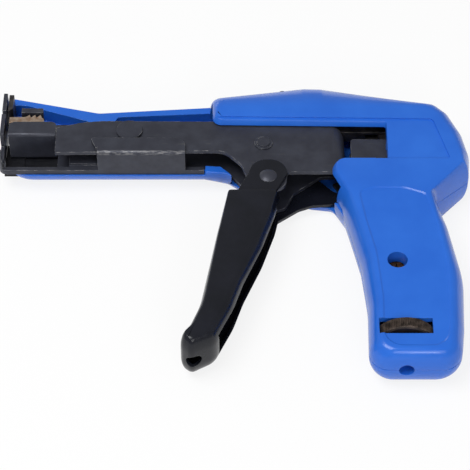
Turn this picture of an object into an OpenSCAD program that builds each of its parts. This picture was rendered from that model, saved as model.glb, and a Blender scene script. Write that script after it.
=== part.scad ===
// Cable tie tensioning tool, lying on its far side.
// +X runs from the nose to the rear, +Y from the butt to the hood, +Z out of the resting side.
// The origin is on the resting face, on the axis of the trigger pin.

/* [Body] */
// Reach of the barrel in front of the trigger pin
barrel_l = 100; // [92:1:110]
// Reach of the body behind the trigger pin
body_l = 76; // [72:1:84]
// Height of the hood above the trigger pin
hood_h = 52; // [49:1:57]
// Length of the handle below the trigger pin
handle_h = 84; // [80:1:96]
// Thickness over both halves
body_t = 22; // [21.5:0.25:24]
// Thickness of the handle at its butt
butt_t = 17; // [16.5:0.25:18]
// Wall of the moulded halves
wall_t = 2.4; // [2:0.1:2.6]
// Corner radius that the outlines' radius shares multiply
corner_r = 4; // [3:0.25:4.5]

/* [Lever and frame] */
// Width over the cutter lever's side plates
lever_w = 13; // [12.5:0.1:13.2]
// Thickness of the lever's sheet
plate_t = 1.5; // [1.2:0.1:1.6]
// Thickness of the barrel frame's sheet
frame_t = 1.8; // [1.5:0.1:2]
// Offset of the mechanism from the parting plane, towards the viewer
mech_shift = 1.2; // [1:0.1:1.4]
// Outer bend radius at the lever's rear
bend_r = 4; // [3:0.25:4.5]

/* [Pins] */
// Radius of the lever's pivot pin
pivot_r = 3; // [2.5:0.1:3.2]
// Radius of the pivot pin's head
pivot_head_r = 4.9; // [4.2:0.1:5]
// Radius of the trigger pin
trigger_pin_r = 2.5; // [2:0.1:2.8]
// Radius of the trigger pin's domed head
trigger_head_r = 3.3; // [3:0.1:3.6]
// Radius of the crank's pin
crank_pin_r = 2; // [1.6:0.1:2.2]
// Radius of the small pins in the link and the pawl
small_pin_r = 1.2; // [1:0.1:1.4]

/* [Trigger] */
// Width over the trigger's grip
grip_w = 19; // [18.6:0.1:19.6]
// Thickness of the grip's wall
grip_t = 1.35; // [1.2:0.05:1.4]
// Length of the trigger's rear arm, as a share of the body's reach
arm_share = 0.395; // [0.385:0.005:0.405]
// Radius of the arm's nose
nose_r = 3; // [2.6:0.1:3.2]
// Angle of the rear arm at rest
arm_a = 4; // [3:0.5:5]

/* [Pull] */
// Width of the pull link
link_w = 5; // [4.4:0.1:5.2]
// Height of the pull link
link_h = 4; // [3.4:0.1:4.4]
// Length of the crank's lifted arm, as a share of the body's reach
crank_arm_share = 0.322; // [0.316:0.003:0.328]
// Length of the crank's pulling arm
crank_pull_l = 17; // [16:0.25:17.5]
// Width of the crank's arms
crank_w = 6; // [5.4:0.1:6.2]
// Teeth of the gripper pawl
teeth_n = 3; // [2:1:4]

/* [Tension adjuster] */
// Radius of the thumbwheel
wheel_r = 10.9; // [10.4:0.1:10.9]
// Thickness of the thumbwheel
wheel_t = 5; // [4.4:0.1:5.4]
// Grooves round the thumbwheel
knurl_n = 40; // [24:2:48]
// Radius of the adjusting screw
rod_r = 2.5; // [2:0.1:2.7]
// Radius of the bore in the butt
butt_bore_r = 3; // [2.9:0.1:3.2]
// Outer radius of the tension spring
spring_r = 5.4; // [5:0.1:5.6]
// Wire of the tension spring
spring_wire = 1.5; // [1.2:0.1:1.7]
// Turns of the tension spring
spring_turns = 5; // [4:1:6]

/* [Screws] */
// Radius of the handle screw's counterbore
cbore_r = 3.6; // [3.4:0.1:4]
// Radius of the handle screw
screw_r = 1.6; // [1.4:0.1:1.8]

/* [Hidden] */
$fn = 48;
eps = 0.01;
cut = 1;
fit = 0.05;
gap = 0.3;
arc_n = 4;
shell_steps = [[1, 0.45], [0.82, 0.78], [0.4, 1]];
grip_steps = [[1, 0.8], [0.5, 1]];
fold_share = -0.113;

// Outline tables: x and y as shares of the reaches, at the parting plane and where the roll
// meets the flat face, then the corner radius as a share of corner_r.
hood_shares = [
    [0.187, 1.004, 0.187, 0.665, 2], [0.27, 1, 0.27, 0.665, 2], [0.856, 0.784, 0.805, 0.665, 1.4],
    [0.922, 0.676, 0.846, 0.6, 1.2], [0.978, 0.468, 0.9, 0.42, 2], [1, 0.269, 0.934, 0.231, 2],
    [0.989, 0.1, 0.95, 0.127, 0.4]];
handle_shares = [
    [0.803, -0.083, 0.776, fold_share, 1], [0.861, -0.262, 0.8, -0.286, 12],
    [0.911, -0.548, 0.84, -0.548, 12], [0.893, -0.81, 0.824, -0.81, 8],
    [0.867, -1, 0.804, -0.958, 2], [0.448, -1, 0.511, -0.958, 1.8],
    [0.457, -0.69, 0.52, -0.69, 12], [0.435, -0.452, 0.5, -0.452, 12],
    [0.394, -0.262, 0.458, -0.262, 10]];
near_outline_shares = concat([[-0.219, 0.877, -0.187, 0.665, 1.1]], hood_shares, handle_shares, [
    [0.358, -0.107, 0.413, fold_share, 3], [0.301, 0.038, 0.341, 0.035, 1.2],
    [0.303, 0.162, 0.342, 0.146, 1.15], [0.583, 0.162, 0.592, 0.146, 0.15],
    [0.586, 0.496, 0.596, 0.54, 0.3], [-0.219, 0.513, -0.187, 0.567, 1]]);
far_outline_shares = concat([
    [-1, 0.977, -0.95, 0.837, 0.4], [-0.651, 0.817, -0.64, 0.712, 2],
    [-0.228, 0.877, -0.22, 0.712, 3]], hood_shares, handle_shares, [
    [0.368, -0.14, 0.411, fold_share, 2], [0.305, -0.02, 0.34, 0.01, 1.4],
    [0.2, -0.008, 0.224, 0.035, 1.2], [-0.068, 0.088, -0.06, 0.163, 0.8],
    [-0.157, 0.194, -0.145, 0.337, 2], [-0.24, 0.21, -0.23, 0.44, 1], [-1, 0.206, -0.91, 0.44, 2.6]]);

// Rooms inside the halves: x and y. The low rooms lie next to the flat
// faces and stay clear of the roll; the high rooms lie next to the parting plane.
far_low_shares = [
    [-0.94, 0.33], [-0.94, 0.7], [0.8, 0.7], [0.91, 0.5], [0.935, 0.25],
    [0.92, 0.13], [0.77, -0.085], [0.41, -0.085], [0.3, -0.05],
    [0.215, -0.035], [0.215, -0.24], [-0.096, -0.24], [-0.096, 0.22],
    [-0.15, 0.3], [-0.24, 0.33]];
far_high_shares = [
    [-1.02, 0.27], [-1.02, 0.9], [-0.932, 0.895], [-0.652, 0.702], [-0.593, 0.702],
    [-0.575, 0.772], [-0.228, 0.81], [0.187, 0.92], [0.27, 0.92], [0.84, 0.73],
    [0.93, 0.48], [0.95, 0.25], [0.94, 0.125], [0.77, -0.085], [0.41, -0.06],
    [0.3, 0.008], [0.215, 0.018], [0.215, -0.24], [-0.119, -0.24],
    [-0.119, 0.1], [-0.141, 0.19], [-0.178, 0.262], [-0.24, 0.27]];
near_low_shares = [
    [-0.26, 0.3], [-0.26, 0.756], [-0.19, 0.756], [0.187, 0.84], [0.27, 0.84],
    [0.82, 0.67], [0.91, 0.47], [0.935, 0.25], [0.92, 0.14], [0.75, -0.055],
    [0.44, -0.055], [0.22, -0.055], [0.22, 0.3]];
near_high_shares = [
    [-0.2, 0.6], [-0.2, 0.8], [0.187, 0.94], [0.27, 0.935], [0.84, 0.73],
    [0.9, 0.6]];
handle_room_shares = [
    [0.4, -0.045], [0.76, -0.045], [0.815, -0.262], [0.868, -0.548], [0.852, -0.8],
    [0.835, -0.895], [0.5, -0.895], [0.503, -0.69], [0.485, -0.452], [0.44, -0.262]];

// Side profiles of the flat parts: x, y and the corner radius share.
lever_near_shares = [
    [-0.8, 0.262, 0.12], [-0.8, 0.515, 0.12], [-0.705, 0.567, 1], [-0.63, 0.583, 2], [-0.214, 0.577, 2],
    [0.382, 0.522, 1.4], [0.382, 0.069, 0.3], [0.095, 0.069, 0.3], [0.086, -0.05, 1.2],
    [-0.02, -0.083, 1.2], [-0.072, -0.05, 0.7], [-0.078, 0.02, 1], [-0.1, 0.145, 2],
    [-0.165, 0.281, 1.6], [-0.4, 0.275, 4]];
lever_far_shares = [
    [-0.8, 0.295, 0.12], [-0.8, 0.515, 0.12], [-0.705, 0.567, 1], [-0.63, 0.583, 2], [-0.214, 0.577, 2],
    [0.382, 0.522, 1.4], [0.382, 0.235, 0.3], [0.26, 0.225, 0.8], [0.13, 0.062, 0.5],
    [0.086, -0.05, 0.8], [-0.02, -0.083, 1.2], [-0.072, -0.05, 0.7], [-0.078, 0.02, 1],
    [-0.1, 0.145, 2], [-0.165, 0.3, 1.6], [-0.4, 0.295, 4]];
tab_shares = [
    [-0.64, 0.219, 0.05], [-0.641, 0.25, 0.4], [-0.668, 0.373, 0.2], [-0.31, 0.373, 1], [-0.31, 0.219, 0.05]];
grip_shares = [
    [-0.151, -0.087, -0.144, -0.1, 0.3], [0.06, -0.087, 0.03, -0.1, 0.3], [0.036, -0.205, -0.006, -0.205, 8],
    [-0.022, -0.4, -0.066, -0.4, 12], [-0.09, -0.6, -0.128, -0.6, 12], [-0.126, -0.74, -0.166, -0.74, 8],
    [-0.19, -0.912, -0.222, -0.88, 1.6], [-0.275, -0.962, -0.272, -0.925, 0.6], [-0.322, -0.918, -0.3, -0.9, 0.8],
    [-0.287, -0.855, -0.262, -0.85, 3], [-0.248, -0.73, -0.224, -0.73, 10], [-0.19, -0.33, -0.175, -0.33, 10]];
grip_room_shares = [
    [-0.136, 0.05, 0.1], [0.4, 0.05, 0.1], [0.4, -0.35, 0.1], [0.06, -0.44, 2], [-0.06, -0.74, 3],
    [-0.15, -0.872, 1], [-0.198, -0.892, 0.8], [-0.272, -0.934, 0.45], [-0.3, -0.908, 0.45],
    [-0.272, -0.855, 3], [-0.232, -0.73, 10], [-0.175, -0.33, 10]];
ear_shares = [
    [-0.072, 0.03, 0.8], [-0.055, 0.162, 1.6], [0.072, 0.162, 1.6], [0.095, 0.03, 1], [0.02, -0.12, 3],
    [-0.03, -0.36, 1], [-0.155, -0.36, 0.5], [-0.118, -0.1, 1]];
arm_neck_shares = [
    [-0.04, 0.12, 0.5], [0.12, 0.1, 2], [0.3, 0.055, 3], [0.39, 0.09, 0.1], [0.39, -0.006, 0.1],
    [0.3, 0.034, 2], [0.215, 0.036, 1], [0.1, -0.06, 2], [0, -0.11, 0.5]];
yoke_shares = [
    [0.354, 0.165, 0.1], [0.354, 0.229, 0.1], [0.413, 0.229, 0.2], [0.413, 0.435, 0.3], [0.555, 0.435, 0.3],
    [0.555, -0.05, 1], [0.715, -0.24, 2], [0.715, -0.598, 0.4], [0.51, -0.598, 0.4], [0.5, -0.24, 2],
    [0.43, -0.05, 1], [0.413, 0.165, 0.2]];

// Places of the pins and screws, as shares of the reaches.
pivot_share = [-0.523, 0.475];
rivet_share = [-0.016, 0.352];
handle_screw_share = [0.599, -0.494];
hood_screw_shares = [[0.08, 0.9], [0.9, 0.3]];
crank_share = [48 / 76, 18 / 52];
rod_share = 0.618;
wheel_share = -0.845;

// Planes
mid_z = body_t / 2;
mech_z = mid_z + mech_shift;
lever_in = lever_w / 2 - plate_t;
ear_gap = 0.25;
ear_t = grip_w / 2 - grip_t - lever_w / 2 - ear_gap;
ear_in = lever_w / 2 + ear_gap;
tab_in = lever_w / 2 + gap;
tab_out = tab_in + frame_t;
shell_gap = 0.5;
near_room_z = mech_z + lever_w / 2 + shell_gap;
handle_room = 6.5;
floor_z = 1.5 * wall_t;
shelf_z = 5.2;
hood_room = 4;
shelf_top_z = mid_z + hood_room;
web_drop = 2;
web_z = mid_z - web_drop;

// Places in millimetres
function place(s) = [s[0] * (s[0] < 0 ? barrel_l : body_l), s[1] * (s[1] < 0 ? handle_h : hood_h)];
pivot_at = place(pivot_share);
rivet_at = place(rivet_share);
screw_at = place(handle_screw_share);
rod_x = rod_share * body_l;
wheel_y = wheel_share * handle_h;
butt_room_y = -0.895 * handle_h;
crank_at = place(crank_share);
web_y = 0.219 * hood_h;
nose_x = -barrel_l;
nose_t = 1.5;
slot_y = 0.67 * hood_h;
slot_h = 1.8;
head_room = 6;
screw_head_t = 1.8;
screw_seat = 2;
hood_screw_z1 = near_room_z - screw_seat;

// Pull link and pawl
link_y = 0.542 * hood_h;
crank_turn = 18.36;
pull_pin_at = crank_at + crank_pull_l * [-sin(crank_turn), cos(crank_turn)];
fork_in = 1.3;
crank_plate_t = 2.2;
pawl_front_x = -0.986 * barrel_l;
pawl_rear_x = -0.854 * barrel_l;
pawl_pin_lift = 0.6;
pawl_pin_at = [-0.9 * barrel_l, link_y + pawl_pin_lift];
pawl_half_w = 4.6;
pawl_base_y = link_y + link_h - pawl_pin_lift;
tooth_h = 1.2;

// Crank: its lifted arm lies one small gap above the trigger arm's nose
arm_l = arm_share * body_l;
crank_arm_l = crank_arm_share * body_l;
nose_at = arm_l * [cos(arm_a), sin(arm_a)];
nose_to = nose_at - crank_at;
arm_gap = 0.35;
crank_a = atan2(nose_to.y, nose_to.x) - asin((crank_w / 2 + nose_r + arm_gap) / norm(nose_to));
arm_z = mech_z - ear_in - ear_t;
arm_room_z = mech_z - ear_in + gap;

// Adjuster
nut_h = 4;
nut_w = 11;
nut_y = wheel_y + wheel_t / 2 + gap;
spring_y0 = nut_y + nut_h + fit;
yoke_cap_y = -0.598 * handle_h;
spring_y1 = yoke_cap_y - fit;
rod_y1 = yoke_cap_y + 2 * spring_wire;
cap_t = 1.5;
journal_l = 3;
journal_y0 = butt_room_y - journal_l;

function unit(v) = v / norm(v);

// Points of the arc that rounds the corner q between the points p and r, in n steps
function corner(p, q, r, round_r, n) =
    let (a = unit(p - q), b = unit(r - q), straight_on = norm(a + b) < 0.001)
    straight_on ? [for (i = [0 : n]) q + (i < n / 2 ? a : b) * abs(1 - 2 * i / n) * round_r / 8]
    : arc(q, a, b, round_r, acos(max(-1, min(1, a * b))) / 2, n);

function arc(q, a, b, round_r, half, n) =
    let (c = q + unit(a + b) * round_r / sin(half),
         s = q + a * round_r / tan(half), e = q + b * round_r / tan(half),
         a0 = atan2(s.y - c.y, s.x - c.x), turn = atan2(e.y - c.y, e.x - c.x) - a0,
         sweep = turn > 180 ? turn - 360 : turn < -180 ? turn + 360 : turn)
    [for (i = [0 : n]) c + round_r * [cos(a0 + sweep * i / n), sin(a0 + sweep * i / n)]];

function rounded(v, radii, n) = let (m = len(v))
    [for (i = [0 : m - 1]) each corner(v[(i + m - 1) % m], v[i], v[(i + 1) % m], radii[i], n)];

function outline(table) = rounded([for (s = table) place(s)], [for (s = table) s[2] * corner_r], arc_n);

// The outline between the parting plane (share 1) and the flat face (share 0)
function step_outline(table, share) =
    let (v = [for (s = table) let (o = place(s), f = place([s[2], s[3]])) f + (o - f) * share])
    rounded(v, [for (s = table) s[4] * corner_r * (0.7 + 0.3 * share)], arc_n);

// A flat-faced body whose rolled edge is cut in steps: share of the outline, share of the height
module stepped(table, side, half, steps) {
    for (k = [0 : len(steps) - 1]) {
        z0 = k == 0 ? 0 : steps[k - 1][1] * half;
        z1 = steps[k][1] * half;
        translate([0, 0, side > 0 ? z0 : -z1]) linear_extrude(z1 - z0)
            polygon(step_outline(table, steps[k][0]));
    }
}

// Wedge that thins the handle towards the butt, on one side of the parting plane
module handle_wedge(side) {
    fold_y = fold_share * handle_h;
    thin = (body_t - butt_t) / 2;
    over = (handle_h + cut) / (handle_h + fold_y);
    translate([0, 0, mid_z]) rotate([90, 0, 90]) linear_extrude(body_l + cut)
        polygon([[fold_y, side * mid_z], [-handle_h * over, side * (mid_z - thin * over)],
                 [-handle_h * over, side * (mid_z + cut)], [fold_y, side * (mid_z + cut)]]);
}

// A flat plate of the mechanism between two distances from its middle plane
module plate(table, z0, z1) {
    translate([0, 0, mech_z + z0]) linear_extrude(z1 - z0) polygon(outline(table));
}

module room(table, z0, z1) {
    translate([0, 0, z0]) linear_extrude(z1 - z0) polygon([for (s = table) place(s)]);
}

// A round bar along Z
module bar(at, r, z0, z1) {
    translate([at.x, at.y, z0]) cylinder(r = r, h = z1 - z0);
}

// A round bar along Y on the adjuster's axis
module rod(r, y0, y1) {
    translate([rod_x, y0, mid_z]) rotate([-90, 0, 0]) cylinder(r = r, h = y1 - y0);
}

module block(lo, hi) {
    translate(lo) cube(hi - lo);
}

module wheel_window() {
    window_l = 18.6;
    window_w = 6.6;
    block([rod_x - window_l / 2, wheel_y - window_w / 2, -cut],
          [rod_x + window_l / 2, wheel_y + window_w / 2, body_t + cut]);
    rod(wheel_r + gap, wheel_y - window_w / 2, wheel_y + window_w / 2);
}

// Bores shared by the two halves
module shared_bores() {
    rod(butt_bore_r, -handle_h - cut, journal_y0);
    rod(rod_r + fit, journal_y0 - cut, butt_room_y + cut);
    bar(crank_at, crank_pin_r + fit, crank_pin_z0, crank_pin_z1);
}

crank_pin_z0 = 1;
pin_seat = 1.2;
crank_pin_z1 = near_room_z + pin_seat;
boss_wall = 1.6;
cbore_land = 3;
cbore_floor_z = mid_z + cbore_land;
blade_t = 1.8;
blade_inset = 0.7;
blade_x = nose_x + blade_inset;
blade_y0 = slot_y + slot_h;
blade_y1 = 0.87 * hood_h;
rivet_r = 1.25;
rivet_z = 1.6 * wall_t;
rivet_shares = [0.46, 0.8];
rivet_head_r = 2;
rivet_head_t = 0.7;

// A round bar along X through the nose wall
module nose_bar(y, r, x0, x1) {
    translate([x0, y, rivet_z]) rotate([0, 90, 0]) cylinder(r = r, h = x1 - x0);
}

module housing_far_half() color("royalblue") {
    post_r = screw_r + 2 * boss_wall;
    difference() {
        translate([0, 0, mid_z]) stepped(far_outline_shares, -1, mid_z, shell_steps);
        difference() {
            union() {
                room(far_low_shares, floor_z, arm_room_z);
                room(far_high_shares, shelf_z, body_t);
                room(handle_room_shares, mid_z - handle_room, body_t);
            }
            bar(screw_at, post_r, -cut, mid_z);
            for (s = hood_screw_shares) bar(place(s), 2 * screw_r + boss_wall, -cut, mid_z);
            bar(crank_at, crank_pin_r + boss_wall, -cut, arm_z - gap);
            bar(pivot_at, pivot_r + boss_wall, -cut, mech_z - lever_w / 2 - gap);
        }
        handle_wedge(-1);
        // shelf for the frame's web
        block([-barrel_l - cut, 0, web_z], [place([-0.235, 0]).x, 0.3 * hood_h, body_t]);
        shared_bores();
        bar(screw_at, screw_r, mid_z - handle_room, mid_z + cut);
        bar(pivot_at, pivot_r, crank_pin_z0, mid_z);
        for (s = hood_screw_shares) {
            bar(place(s), screw_r, head_room - cut, mid_z + cut);
            bar(place(s), 2 * screw_r, -cut, head_room);
        }
        wheel_window();
        for (y = rivet_shares) nose_bar(y * hood_h, rivet_r, nose_x - cut, nose_x + nose_t + 4 * cut);
    }
}

module housing_near_half() color("royalblue") {
    difference() {
        translate([0, 0, mid_z]) stepped(near_outline_shares, 1, mid_z, shell_steps);
        difference() {
            union() {
                room(near_low_shares, mid_z - cut, near_room_z);
                room(near_high_shares, mid_z - cut, shelf_top_z);
                room(handle_room_shares, mid_z - cut, mid_z + handle_room);
            }
            bar(screw_at, cbore_r + boss_wall, mid_z, body_t);
            for (s = hood_screw_shares) bar(place(s), 2 * boss_wall, mid_z, body_t);
            bar(crank_at, crank_pin_r + boss_wall, mech_z + link_w + gap, body_t);
        }
        handle_wedge(1);
        shared_bores();
        bar(screw_at, screw_r + fit, mid_z - cut, body_t);
        bar(screw_at, cbore_r, cbore_floor_z, body_t + cut);
        for (s = hood_screw_shares) bar(place(s), screw_r, mid_z - cut, hood_screw_z1);
        wheel_window();
    }
}

module handle_screw() color("goldenrod") {
    head_h = 2;
    head_play = 0.5;
    head_r = cbore_r - head_play;
    cross_w = 0.5;
    difference() {
        union() {
            bar(screw_at, screw_r, mid_z - handle_room + gap, cbore_floor_z);
            bar(screw_at, head_r, cbore_floor_z, cbore_floor_z + head_h);
        }
        for (a = [0, 90]) translate([screw_at.x, screw_at.y, cbore_floor_z + head_h]) rotate([0, 0, a])
            cube([head_r * 1.3, cross_w, head_h], center = true);
    }
}

module hood_screws() color("dimgray") {
    for (s = hood_screw_shares) {
        head_z = head_room - screw_head_t;
        bar(place(s), screw_r, head_room, hood_screw_z1);
        difference() {
            bar(place(s), 2 * screw_r - gap, head_z, head_room);
            translate([place(s).x, place(s).y, head_z]) cube([3 * screw_r, screw_r / 2, screw_r], center = true);
        }
    }
}

module barrel_frame() color("darkslategray") {
    guard_y = 0.885 * hood_h;
    foot_y = 0.4 * hood_h;
    fold_r = 1.6;
    nose_corner_r = 3;
    web_end_x = place([-0.31, 0]).x;
    difference() {
        union() {
            // web under the lever
            block([nose_x - nose_t, web_y, web_z], [web_end_x, web_y + frame_t, mech_z + tab_out]);
            block([web_end_x - eps, web_y, web_z], [place([-0.24, 0]).x, web_y + frame_t, mid_z + gap]);
            // near tab that guides the lever
            plate(tab_shares, tab_in, tab_out);
            // stop lug inside the lever's channel
            block([-0.75 * barrel_l, web_y + frame_t - eps, web_z],
                  [-0.62 * barrel_l, 0.36 * hood_h, mid_z + cut]);
            // nose wall
            block([nose_x - nose_t, web_y, web_z], [nose_x, foot_y + eps, mid_z + gap]);
            block([nose_x - nose_t, foot_y, nose_t + cut], [nose_x, guard_y, mid_z + gap]);
            block([nose_x - nose_t, 0.46 * hood_h, nose_t + cut], [nose_x, guard_y, mech_z + lever_w / 2 - 2 * gap]);
        }
        // the near tab starts behind the open nose
        block([nose_x, web_y - cut, mid_z + gap], [place([-0.64, 0]).x, web_y + frame_t + cut, body_t]);
        // slot that takes the tie's tail from the side
        block([nose_x - nose_t - cut, slot_y, floor_z + 2 * nose_t], [nose_x + cut, slot_y + slot_h, body_t]);
        // rounded nose corner
        difference() {
            block([nose_x - nose_t - cut, web_y - cut, -cut],
                  [nose_x - nose_t + nose_corner_r, web_y + nose_corner_r, body_t]);
            bar([nose_x - nose_t + nose_corner_r, web_y + nose_corner_r], nose_corner_r, -cut, body_t);
        }
        for (y = rivet_shares) {
            nose_bar(y * hood_h, rivet_r, nose_x - nose_t - cut, nose_x + cut);
            nose_bar(y * hood_h, rivet_head_r + fit, nose_x - nose_t - cut, nose_x - nose_t + rivet_head_t + fit);
        }
        // rounded outer fold of the near tab
        difference() {
            block([place([-0.7, 0]).x, web_y - cut, mech_z + tab_out - fold_r],
                  [web_end_x + cut, web_y + fold_r, mech_z + tab_out + cut]);
            translate([nose_x, web_y + fold_r, mech_z + tab_out - fold_r]) rotate([0, 90, 0])
                cylinder(r = fold_r, h = barrel_l);
        }
    }
}

// Sheet on the barrel's floor, seen under the nose block
module barrel_liner() color("darkslategray") {
    difference() {
        block([-0.93 * barrel_l, 0.335 * hood_h, floor_z + fit],
              [place([-0.25, 0]).x, 0.695 * hood_h, shelf_z - fit]);
        bar(pivot_at, pivot_r + boss_wall + gap, -cut, body_t);
    }
}

module frame_rivets() color("dimgray") {
    for (y = rivet_shares) {
        nose_bar(y * hood_h, rivet_r, nose_x - nose_t, nose_x + nose_t + cut);
        nose_bar(y * hood_h, rivet_head_r, nose_x - nose_t, nose_x - nose_t + rivet_head_t);
    }
}

module fixed_blade() color("dimgray") {
    difference() {
        block([blade_x, blade_y0, shelf_z], [blade_x + blade_t, blade_y1, mech_z + lever_w / 2 - 2 * gap]);
        // ground edge
        translate([blade_x + blade_t, blade_y0, 0]) rotate([0, 0, 45])
            cube([blade_t, blade_t, 3 * body_t], center = true);
    }
}

module anvil() color("black") {
    block([-0.943 * barrel_l, 0.69 * hood_h + tooth_h, shelf_z],
          [-0.86 * barrel_l, 0.76 * hood_h, mech_z + pawl_half_w - gap]);
}

module lever_pivot_pin() color("dimgray") {
    head_t = 1;
    head_z = mech_z + lever_w / 2 + fit;
    bar(pivot_at, pivot_r, crank_pin_z0, head_z);
    bar(pivot_at, pivot_head_r, head_z, head_z + head_t);
}

// Side plates and rear bend, cut from one folded strip
module lever_strip(inner) {
    rear_x = 0.382 * body_l - (inner ? plate_t : 0);
    half = inner ? lever_in : lever_w / 2;
    r = bend_r - (inner ? plate_t : 0);
    translate([0, hood_h, mech_z]) rotate([90, 0, 0]) linear_extrude(hood_h + handle_h / 4) union() {
        translate([-barrel_l, -half]) square([barrel_l + rear_x - r, 2 * half]);
        translate([rear_x - 2 * r, -half + r]) square([2 * r, 2 * (half - r)]);
        for (side = [-1, 1]) translate([rear_x - r, side * (half - r)]) circle(r);
    }
}

module cutter_lever() color("darkslategray") {
    near_z = lever_in - gap;
    difference() {
        intersection() {
            union() {
                plate(lever_near_shares, near_z, lever_w / 2 + cut);
                plate(lever_far_shares, -lever_w / 2 - cut, near_z + eps);
            }
            lever_strip(false);
        }
        lever_strip(true);
        bar(pivot_at, pivot_r + fit, -cut, body_t + cut);
        bar(rivet_at, trigger_pin_r, -cut, body_t + cut);
        bar([0, 0], trigger_pin_r + fit, -cut, body_t + cut);
    }
}

module nose_block() color("darkslategray") {
    block_x0 = -0.982 * barrel_l;
    block_x1 = -0.802 * barrel_l;
    base_y = 0.442 * hood_h;
    top_y = 0.577 * hood_h;
    fold_r = 1.2;
    tongue_in = link_w / 2 + 3 * gap;
    tongue_root = 3;
    tongue_l = 14;
    tongue_drop = 1;
    difference() {
        union() {
            // folded channel
            translate([block_x0, 0, 0]) rotate([90, 0, 90]) linear_extrude(block_x1 - block_x0)
                difference() {
                    union() {
                        translate([base_y + fold_r, mech_z - lever_w / 2])
                            square([top_y - base_y - fold_r, lever_w]);
                        for (side = [-1, 1]) translate([base_y + fold_r, mech_z + side * (lever_w / 2 - fold_r)])
                            circle(fold_r);
                        translate([base_y, mech_z - lever_w / 2 + fold_r])
                            square([2 * fold_r, lever_w - 2 * fold_r]);
                    }
                    translate([base_y + plate_t, mech_z - lever_in]) square([top_y, 2 * lever_in]);
                }
            // tongues that reach between the lever's plates
            for (side = [-1, 1]) translate([0, 0, side * (tongue_in + lever_in) / 2])
                block([block_x1 - tongue_root, base_y + plate_t - eps, mech_z - (lever_in - tongue_in) / 2 + eps],
                      [block_x1 + tongue_l, top_y - tongue_drop, mech_z + (lever_in - tongue_in) / 2 - eps]);
        }
        // rounded upper corners of the side walls
        corner_cut = 2.4;
        for (end = [[block_x0, 1], [block_x1, -1]]) difference() {
            translate([end[0], top_y, 0]) cube([2 * corner_cut, 2 * corner_cut, 4 * body_t], center = true);
            bar([end[0] + end[1] * corner_cut, top_y - corner_cut], corner_cut, -body_t, 2 * body_t);
            block([block_x1 - tongue_root, 0, mech_z - lever_in], [0, hood_h, mech_z + lever_in]);
        }
    }
}

module lever_rivet() color("dimgray") {
    head_t = 0.6;
    ring_w = 0.9;
    bar(rivet_at, trigger_pin_r, mech_z - lever_w / 2, mech_z + lever_w / 2);
    bar(rivet_at, trigger_pin_r + ring_w, mech_z + lever_w / 2, mech_z + lever_w / 2 + head_t);
    bar(rivet_at, trigger_pin_r, mech_z + lever_w / 2, mech_z + lever_w / 2 + 2 * head_t);
}

module trigger_pin() color("dimgray") {
    ear_out = ear_in + ear_t;
    dome_h = 1;
    dome_r = (trigger_head_r * trigger_head_r + dome_h * dome_h) / (2 * dome_h);
    bar([0, 0], trigger_pin_r, mech_z - ear_out, mech_z + ear_out);
    translate([0, 0, mech_z + ear_out]) intersection() {
        translate([0, 0, dome_h - dome_r]) sphere(dome_r);
        cylinder(r = trigger_head_r, h = dome_h);
    }
}

module trigger_grip() color("black") {
    difference() {
        for (side = [-1, 1]) translate([0, 0, mech_z]) stepped(grip_shares, side, grip_w / 2, grip_steps);
        plate(grip_room_shares, -grip_w / 2 + grip_t, grip_w / 2 - grip_t);
    }
}

// Ears inside the grip; the far one carries the rear arm
module trigger_plates() color("black") {
    difference() {
        union() {
            plate(ear_shares, ear_in, ear_in + ear_t);
            plate(ear_shares, -ear_in - ear_t, -ear_in);
            plate(arm_neck_shares, -ear_in - ear_t, -ear_in);
            bar(nose_at, nose_r, arm_z, arm_z + ear_t);
        }
        bar([0, 0], trigger_pin_r, -cut, body_t + cut);
    }
}

// Points of a wire's section carried round a helix along Z
function helix_ring(r, wire_r, a, z, sides) =
    [for (i = [0 : sides - 1]) let (t = 360 * i / sides)
        [(r + wire_r * cos(t)) * cos(a), (r + wire_r * cos(t)) * sin(a), z + wire_r * sin(t)]];

module helix(r, wire_r, pitch, turns, steps, sides) {
    n = turns * steps;
    points = [for (k = [0 : n]) each helix_ring(r, wire_r, 360 * k / steps, pitch * k / steps, sides)];
    walls = [for (k = [0 : n - 1], i = [0 : sides - 1]) let (j = (i + 1) % sides)
        each [[k * sides + i, k * sides + j, (k + 1) * sides + j],
              [k * sides + i, (k + 1) * sides + j, (k + 1) * sides + i]]];
    polyhedron(points, concat([[for (i = [sides - 1 : -1 : 0]) i]], [[for (i = [0 : sides - 1]) n * sides + i]], walls));
}

module trigger_spring() color("silver") {
    wire_r = 0.5;
    coil_r = trigger_pin_r + gap + wire_r;
    turns = 4;
    pitch = 4 * wire_r;
    translate([0, 0, mech_z - turns * pitch / 2]) helix(coil_r, wire_r, pitch, turns, 16, 6);
}

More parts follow.
